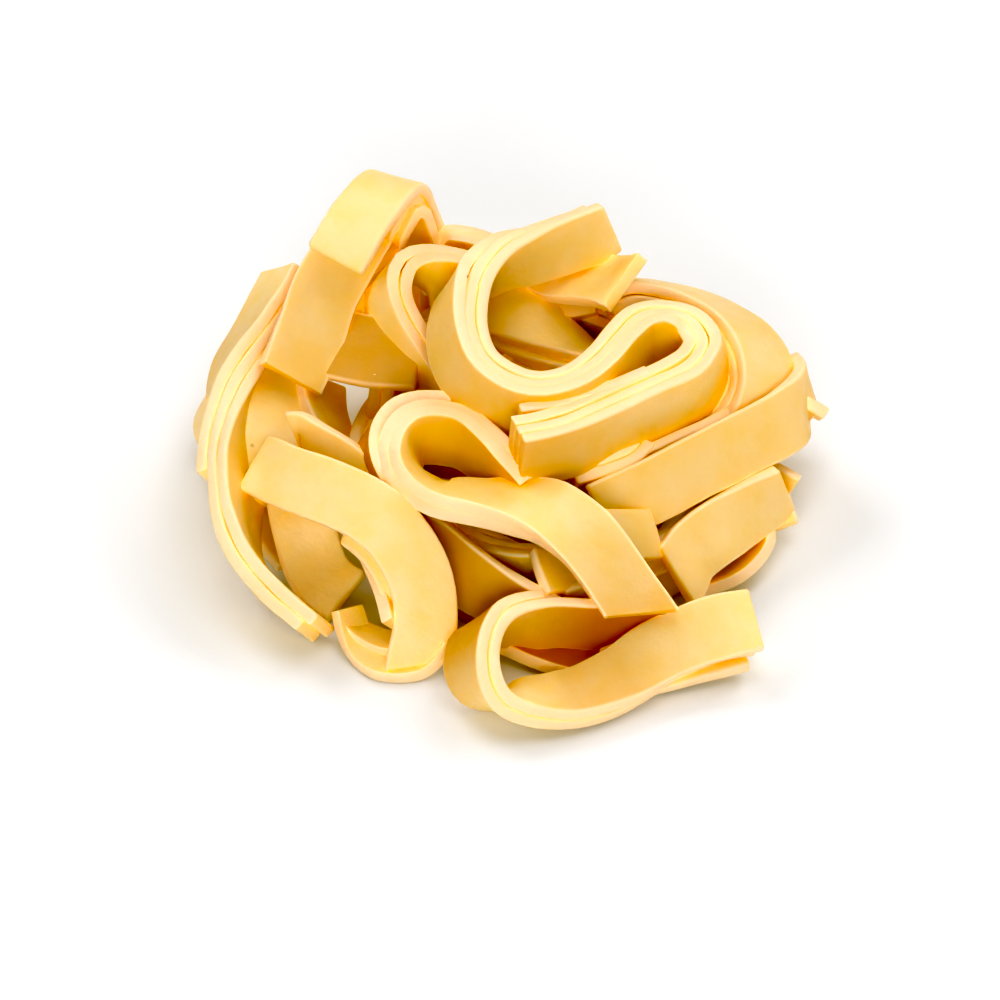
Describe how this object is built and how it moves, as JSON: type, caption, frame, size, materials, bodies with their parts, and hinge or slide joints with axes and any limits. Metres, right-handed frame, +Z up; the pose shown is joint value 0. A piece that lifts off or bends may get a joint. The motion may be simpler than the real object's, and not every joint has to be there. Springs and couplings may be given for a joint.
{
  "type": "dry pasta nest",
  "caption": "Nest of dry egg pasta: flat ribbons in layered bundles, wound into loops, folds and curls that rest on a flat underside.",
  "frame": {"origin": "middle of the outline on the plane it rests on", "axes": "+Z up; the front loop, nearest the viewer, lies toward -Y, the left bundle toward -X and the right bands toward +X"},
  "size_m": [0.0648, 0.0616, 0.0266],
  "materials": {
    "dry_dough": "matt, pale golden dried egg dough with cream edges and fine specks"
  },
  "bodies": {
    "root": {"pasta_nest": "dry_dough"}
  },
  "joints": []
}
